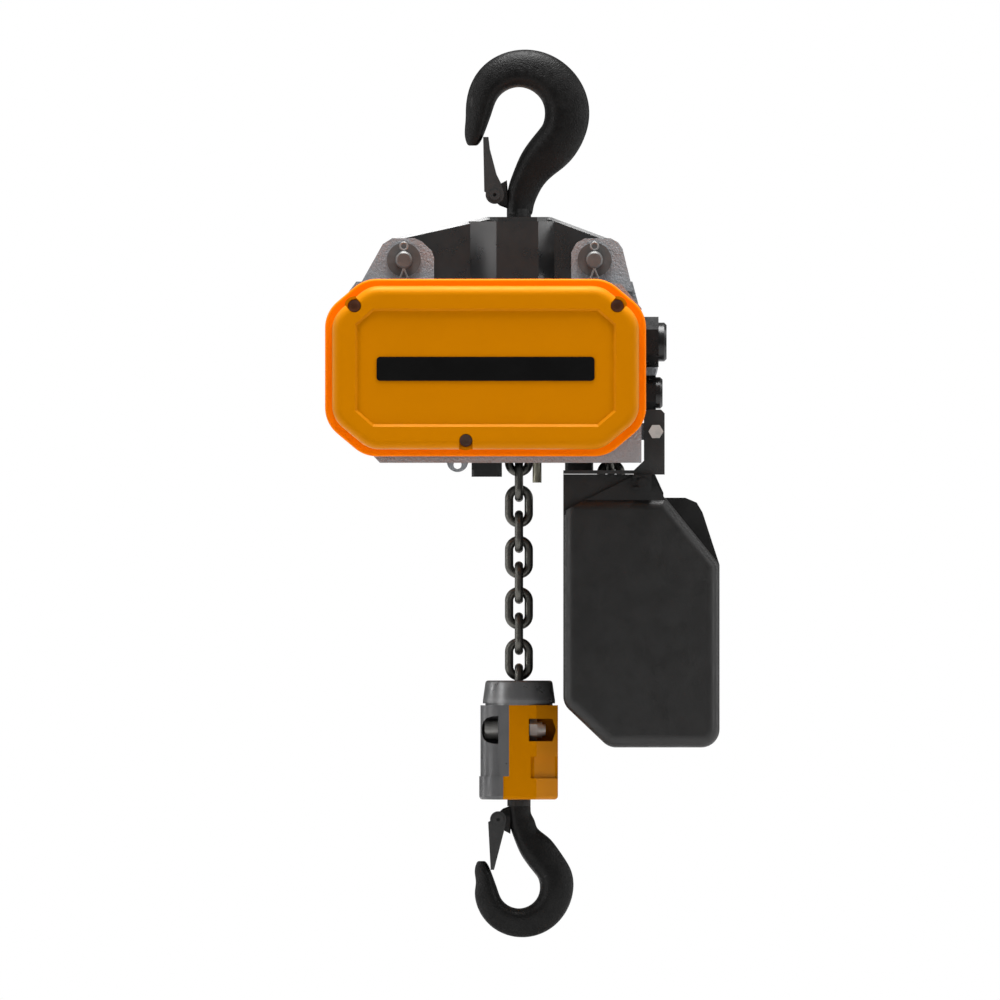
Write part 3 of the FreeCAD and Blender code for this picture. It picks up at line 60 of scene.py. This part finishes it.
def add_camera():
    data = bpy.data.cameras.new("camera")
    data.type = "ORTHO"
    data.ortho_scale = VIEW_SIZE
    data.clip_end = CAMERA_REACH
    camera = bpy.data.objects.new("camera", data)
    camera.location = VIEW_CENTRE + Vector((0, -CAMERA_DISTANCE, 0))
    camera.rotation_euler = (math.pi / 2, 0, 0)
    scene.collection.objects.link(camera)
    scene.camera = camera


add_camera()


# ---- material nodes ---------------------------------------------------------------------------

COAT_ROUGHNESS = 0.25

# Pointiness of an edge just turning outwards, and of one that is fully worn.
EDGE_START, EDGE_FULL = 0.515, 0.56

# The part of a noise's range that most of its values fill.
NOISE_LOW, NOISE_HIGH = 0.3, 0.7

# The colour mix node names its sockets alike for each data type, so they go by number.
MIX_FIRST, MIX_SECOND, MIX_RESULT = 6, 7, 2


class Shader:
    """A material under construction: a principled shader and the nodes that feed it."""

    def __init__(self, name, colour, roughness, metallic=0.0, coat=0.0, specular=0.5):
        self.material = bpy.data.materials.new(name)
        self.material.use_nodes = True
        self.tree = self.material.node_tree
        self.shader = self.tree.nodes["Principled BSDF"]
        self.put(self.shader, {
            "Base Color": (*colour, 1), "Roughness": roughness, "Metallic": metallic,
            "Specular IOR Level": specular, "Coat Weight": coat, "Coat Roughness": COAT_ROUGHNESS,
        })
        self.place = self.new("ShaderNodeTexCoord").outputs["Object"]
        self.roughness = roughness
        self.colour = None
        self.normal = None

    def put(self, node, values):
        for socket, value in values.items():
            node.inputs[socket].default_value = value

    def new(self, kind, **settings):
        made = self.tree.nodes.new(kind)
        for name, value in settings.items():
            setattr(made, name, value)
        return made

    def link(self, source, target):
        self.tree.links.new(source, target)

    def texture(self, kind, values, **settings):
        made = self.new(kind, **settings)
        self.put(made, values)
        self.link(self.place, made.inputs["Vector"])
        return made

    def noise(self, scale, detail=4.0, roughness=0.6):
        values = {"Scale": scale, "Detail": detail, "Roughness": roughness}
        return self.texture("ShaderNodeTexNoise", values).outputs["Fac"]

    def cells(self, scale):
        made = self.texture("ShaderNodeTexVoronoi", {"Scale": scale}, feature="SMOOTH_F1")
        return made.outputs["Distance"]

    def waves(self, direction, scale, distortion=0.0):
        values = {"Scale": scale, "Distortion": distortion}
        return self.texture("ShaderNodeTexWave", values, bands_direction=direction).outputs["Fac"]

    def axis(self, letter):
        split = self.new("ShaderNodeSeparateXYZ")
        self.link(self.place, split.inputs["Vector"])
        return split.outputs[letter]

    def pointiness(self):
        return self.new("ShaderNodeNewGeometry").outputs["Pointiness"]

    def span(self, value, low, high, out_low, out_high):
        """Map low to high onto out_low to out_high, and hold it there beyond them."""
        made = self.new("ShaderNodeMapRange")
        self.put(made, {"From Min": low, "From Max": high, "To Min": out_low, "To Max": out_high})
        self.link(value, made.inputs["Value"])
        return made.outputs["Result"]

    def mix(self, value, colour):
        """Mix the colour so far towards another one where value is high."""
        made = self.new("ShaderNodeMix", data_type="RGBA")
        self.link(value, made.inputs["Factor"])
        if self.colour is None:
            base = self.shader.inputs["Base Color"].default_value
            made.inputs[MIX_FIRST].default_value = base
        else:
            self.link(self.colour, made.inputs[MIX_FIRST])
        made.inputs[MIX_SECOND].default_value = (*colour, 1)
        self.colour = made.outputs[MIX_RESULT]
        self.link(self.colour, self.shader.inputs["Base Color"])

    def tint(self, value, low, high, amount, colour):
        """Mix in a colour, from none of it at low up to the amount at high."""
        self.mix(self.span(value, low, high, 0.0, amount), colour)

    def wear(self, amount, colour):
        """Mix in a colour on outer edges, where a finish wears."""
        self.tint(self.pointiness(), EDGE_START, EDGE_FULL, amount, colour)

    def gloss(self, noise, less, more):
        """Let the roughness wander from less below its value to more above it."""
        low, high = self.roughness - less, self.roughness + more
        varied = self.span(noise, NOISE_LOW, NOISE_HIGH, low, high)
        self.link(varied, self.shader.inputs["Roughness"])

    def bump(self, value, strength, depth):
        made = self.new("ShaderNodeBump")
        self.put(made, {"Strength": strength, "Distance": depth})
        self.link(value, made.inputs["Height"])
        if self.normal is not None:
            self.link(self.normal, made.inputs["Normal"])
        self.normal = made.outputs["Normal"]
        self.link(self.normal, self.shader.inputs["Normal"])


def shade(colour, factor, lift=0.0):
    return tuple(min(1, channel * factor + lift) for channel in colour)


# ---- finishes ---------------------------------------------------------------------------------

def powder_coat(name, colour, grain, depth, roughness, specular=0.25):
    """Fine-textured paint over forged or pressed steel."""
    made = Shader(name, colour, roughness, specular=specular)
    made.tint(made.noise(60, 5), 0.42, 0.62, 1.0, shade(colour, 1.4, 0.002))
    made.wear(0.25, (0.07, 0.07, 0.07))
    made.gloss(made.noise(220, 3), 0.08, 0.12)
    made.bump(made.cells(grain), 0.55, depth)
    made.bump(made.noise(grain * 0.6, 3), 0.4, depth)
    return made.material


def orange_paint(name, colour, roughness, rim=None):
    """Smooth paint, in another shade behind the cover's rim depth when one is given."""
    made = Shader(name, colour, roughness, specular=0.4)
    made.shader.inputs["Specular Tint"].default_value = (1.0, 0.42, 0.0, 1)
    made.tint(made.noise(9, 4), 0.35, 0.7, 0.35, shade(colour, 0.9))
    made.tint(made.noise(140, 6, 0.7), 0.62, 0.8, 0.08, shade(colour, 0.7))
    if rim:
        made.tint(made.axis("Y"), RIM_DEPTH - RIM_BLEND, RIM_DEPTH + RIM_BLEND, 1.0, rim)
    made.gloss(made.noise(45, 5), 0.05, 0.07)
    made.bump(made.noise(900, 2), 0.12, 0.00015)
    return made.material


def cast_metal(name, colour, grain, depth, roughness, metallic=0.2):
    """Cast aluminium with a coarse skin, painted or bare."""
    made = Shader(name, colour, roughness, metallic)
    made.tint(made.noise(30, 6, 0.7), 0.35, 0.7, 0.6, shade(colour, 0.72))
    made.tint(made.noise(grain, 3), 0.55, 0.75, 0.4, shade(colour, 1.35))
    made.wear(0.3, shade(colour, 1.8))
    made.gloss(made.noise(80, 4), 0.1, 0.15)
    made.bump(made.noise(grain, 6, 0.65), 0.8, depth)
    made.bump(made.cells(grain * 0.8), 0.35, depth)
    return made.material


def steel(name, colour, roughness, stain=(0.1, 0.07, 0.05), metallic=0.9, spots=0.35,
          black_below=None):
    """Bare or plated steel; below a height, when one is given, it is blackened."""
    made = Shader(name, colour, roughness, metallic)
    made.tint(made.noise(90, 6, 0.7), 0.4, 0.75, 0.6, shade(colour, 0.55))
    made.tint(made.noise(210, 5, 0.75), 0.6, 0.8, spots, stain)
    if black_below:
        made.tint(made.axis("Z"), black_below, black_below - BLACK_BLEND, 1.0, BLACKENED)
    made.gloss(made.noise(160, 4), 0.1, 0.14)
    made.bump(made.noise(700, 4), 0.25, 0.0002)
    return made.material


def plastic(name, colour, roughness, grain=1400, depth=0.00012, specular=0.35):
    """Moulded plastic or other even, fine-grained skin."""
    made = Shader(name, colour, roughness, specular=specular)
    made.tint(made.noise(25, 5), 0.35, 0.7, 0.5, shade(colour, 1.45, 0.003))
    made.gloss(made.noise(70, 4), 0.06, 0.08)
    made.bump(made.cells(grain), 0.35, depth)
    return made.material


def laminated(name, colour, roughness):
    """Stacked electrical sheet: fine lines across the motor's length."""
    made = Shader(name, colour, roughness, metallic=0.8)
    sheets = made.waves("Y", 300)
    made.mix(sheets, (0.08, 0.08, 0.09))
    made.gloss(made.noise(90), 0.1, 0.15)
    made.bump(sheets, 0.4, 0.0003)
    return made.material


def wound_copper(name, colour, roughness):
    """Enamelled wire, wound in layers."""
    made = Shader(name, colour, roughness, metallic=0.6, coat=0.4)
    turns = made.waves("DIAGONAL", 180, distortion=2.0)
    made.mix(turns, (0.16, 0.05, 0.02))
    made.gloss(made.noise(60), 0.1, 0.15)
    made.bump(turns, 0.6, 0.0004)
    return made.material


def printed_board(name, colour, roughness):
    """Green board under clear lacquer, with small raised parts."""
    made = Shader(name, colour, roughness, coat=0.3)
    made.mix(made.span(made.cells(220), 0.2, 0.3, 1.0, 0.0), (0.02, 0.16, 0.06))
    made.gloss(made.noise(90), 0.1, 0.1)
    made.bump(made.cells(220), 0.3, 0.0002)
    return made.material


COVER_ORANGE = (0.52, 0.172, 0.0)
RIM_ORANGE = (0.78, 0.17, 0.0)

# The cover's face is painted in front of this depth and its rim behind it.
RIM_DEPTH, RIM_BLEND = -0.0965, 0.0015

# The lower bracket bolt, below this height, is black.
BLACK_BOLT_HEIGHT, BLACK_BLEND = -0.315, 0.001
BLACKENED = (0.01, 0.01, 0.01)

# Each finish by name: how it is made, its colour and its other settings.
FINISHES = {
    "black_powder_coat": (powder_coat, (0.0016, 0.0015, 0.0014),
                          dict(grain=900, depth=0.0005, roughness=0.44, specular=0.17)),
    "dark_steel": (powder_coat, (0.011, 0.011, 0.011),
                   dict(grain=1600, depth=0.0001, roughness=0.4)),
    "beam_steel": (plastic, (0.013, 0.013, 0.013),
                   dict(roughness=0.3, grain=2600, depth=0.00001, specular=0.8)),
    "spring_steel": (steel, (0.2, 0.1, 0.045), dict(roughness=0.4)),
    "bright_steel": (steel, (0.42, 0.41, 0.39), dict(roughness=0.32)),
    "cast_aluminium": (cast_metal, (0.2, 0.206, 0.216),
                       dict(grain=620, depth=0.0012, roughness=0.55)),
    "orange_cover": (orange_paint, COVER_ORANGE, dict(roughness=0.45, rim=RIM_ORANGE)),
    "orange_block": (orange_paint, (0.42, 0.145, 0.0), dict(roughness=0.42)),
    "grey_block": (cast_metal, (0.075, 0.075, 0.077),
                   dict(grain=1500, depth=0.00006, roughness=0.36)),
    "black_plate": (plastic, (0.0012, 0.0012, 0.0012),
                    dict(roughness=0.6, grain=900, specular=0.08)),
    "stator_steel": (laminated, (0.2, 0.2, 0.21), dict(roughness=0.45)),
    "copper": (wound_copper, (0.42, 0.15, 0.05), dict(roughness=0.35)),
    "gear_steel": (steel, (0.35, 0.35, 0.35), dict(roughness=0.3)),
    "brake_lining": (plastic, (0.06, 0.05, 0.04), dict(roughness=0.8, grain=700, depth=0.0004)),
    "chain_steel": (steel, (0.10, 0.098, 0.088), dict(roughness=0.34, stain=(0.16, 0.09, 0.05))),
    "black_plastic": (plastic, (0.008, 0.008, 0.008), dict(roughness=0.42)),
    "gland_plastic": (plastic, (0.006, 0.006, 0.006),
                      dict(roughness=0.28, grain=2500, depth=0.00004)),
    "container_plastic": (plastic, (0.0058, 0.0055, 0.0053),
                          dict(roughness=0.44, grain=1500, depth=0.00008, specular=0.42)),
    "bracket_steel": (powder_coat, (0.006, 0.006, 0.006),
                      dict(grain=1500, depth=0.0001, roughness=0.45)),
    "circuit_board": (printed_board, (0.01, 0.09, 0.03), dict(roughness=0.35)),
    "washer_steel": (powder_coat, (0.072, 0.072, 0.071),
                     dict(grain=2600, depth=0.00003, roughness=0.45)),
    "pin_steel": (steel, (0.13, 0.13, 0.128), dict(roughness=0.45, metallic=0.5, spots=0.05)),
    "split_pin_steel": (steel, (0.26, 0.255, 0.25),
                        dict(roughness=0.4, metallic=0.6, spots=0.05)),
    "screw_steel": (steel, (0.17, 0.125, 0.1), dict(roughness=0.42, metallic=0.4)),
    "limit_pin_steel": (steel, (0.22, 0.21, 0.16), dict(roughness=0.35)),
    "bolt_zinc": (steel, (0.66, 0.65, 0.62), dict(roughness=0.38, metallic=0.35, spots=0.05)),
    "bracket_zinc": (steel, (0.5, 0.5, 0.48),
                     dict(roughness=0.4, metallic=0.4, spots=0.1, black_below=BLACK_BOLT_HEIGHT)),
    "rear_cover_paint": (orange_paint, COVER_ORANGE, dict(roughness=0.45)),
    "cap_metal": (cast_metal, (0.16, 0.16, 0.162),
                  dict(grain=1500, depth=0.00006, roughness=0.34, metallic=0.7)),
}

# Nodes whose finish isn't the one named like their material slot.
SPECIAL = {
    "pin_washers": "washer_steel",
    "suspension_pins": "pin_steel",
    "split_pins": "split_pin_steel",
    "cover_screws": "screw_steel",
    "limit_pin": "limit_pin_steel",
    "block_bolt": "bolt_zinc",
    "bracket_bolts": "bracket_zinc",
    "rear_cover": "rear_cover_paint",
    "block_cap": "cap_metal",
}


def finish_node(name, material):
    mesh = nodes[name].data
    mesh.materials.clear()
    mesh.materials.append(material)
    for face in mesh.polygons:
        face.use_smooth = True
    mesh.set_sharp_from_angle(angle=SMOOTH_ANGLE)


materials = {
    name: make(name, colour, **settings) for name, (make, colour, settings) in FINISHES.items()
}
for row in frame["record"]["subparts"]:
    finish_node(row["node"], materials[SPECIAL.get(row["node"], row["material_slot"])])


# ---- stage ------------------------------------------------------------------------------------

def add_world():
    """White to the camera; a softer grey sky, brighter overhead, to the object."""
    world = bpy.data.worlds.new("studio")
    scene.world = world
    world.use_nodes = True
    tree = world.node_tree
    background = tree.nodes["Background"]
    background.inputs["Color"].default_value = (1, 1, 1, 1)
    background.inputs["Strength"].default_value = 1.0
    sky = tree.nodes.new("ShaderNodeBackground")
    coordinates = tree.nodes.new("ShaderNodeTexCoord")
    split = tree.nodes.new("ShaderNodeSeparateXYZ")
    height = tree.nodes.new("ShaderNodeMapRange")
    height.inputs["From Min"].default_value = -1.0
    height.inputs["From Max"].default_value = 1.0
    height.inputs["To Min"].default_value = SKY_LOW
    height.inputs["To Max"].default_value = SKY_HIGH
    path = tree.nodes.new("ShaderNodeLightPath")
    mix = tree.nodes.new("ShaderNodeMixShader")
    tree.links.new(coordinates.outputs["Generated"], split.inputs["Vector"])
    tree.links.new(split.outputs["Z"], height.inputs["Value"])
    tree.links.new(height.outputs["Result"], sky.inputs["Strength"])
    tree.links.new(path.outputs["Is Camera Ray"], mix.inputs["Fac"])
    tree.links.new(sky.outputs["Background"], mix.inputs[1])
    tree.links.new(background.outputs["Background"], mix.inputs[2])
    tree.links.new(mix.outputs["Shader"], tree.nodes["World Output"].inputs["Surface"])


def add_light(name, place, aim, size, power):
    """A rectangular lamp that points at a place on the hoist."""
    data = bpy.data.lights.new(name, "AREA")
    data.shape = "RECTANGLE"
    data.size, data.size_y = size
    data.energy = power
    light = bpy.data.objects.new(name, data)
    light.location = place
    light.rotation_euler = (Vector(aim) - Vector(place)).to_track_quat("-Z", "Y").to_euler()
    scene.collection.objects.link(light)


def add_floor():
    mesh = bpy.data.meshes.new("floor")
    height = cad_box[0][2] - FLOOR_DROP
    corners = [(-1, -1), (1, -1), (1, 1), (-1, 1)]
    points = [(FLOOR_HALF * x, FLOOR_HALF * y, height) for x, y in corners]
    mesh.from_pydata(points, [], [(0, 1, 2, 3)])
    floor = bpy.data.objects.new("floor", mesh)
    paint = Shader("floor_paint", (0.8, 0.8, 0.8), 0.7)
    paint.tint(paint.noise(3), NOISE_LOW, NOISE_HIGH, 1.0, (0.76, 0.76, 0.76))
    mesh.materials.append(paint.material)
    scene.collection.objects.link(floor)


# Each light's name, place, aim, width and height, and power in watts.
LIGHTS = [
    ("overhead", (0.0, -0.2, 1.5), (0, 0, -0.3), (1.2, 1.2), 82),
    ("left_strip", (-1.7, -0.9, 0.1), (0, 0, -0.3), (0.35, 1.8), 13),
    ("right_strip", (1.7, -0.9, 0.1), (0, 0, -0.3), (0.35, 1.8), 12),
    ("left_rim", (-1.5, 0.4, 0.0), (0, 0, -0.35), (0.3, 1.6), 7),
    ("right_rim", (1.5, 0.4, 0.0), (0, 0, -0.35), (0.3, 1.6), 7),
]

add_world()
add_floor()
for light in LIGHTS:
    add_light(*light)
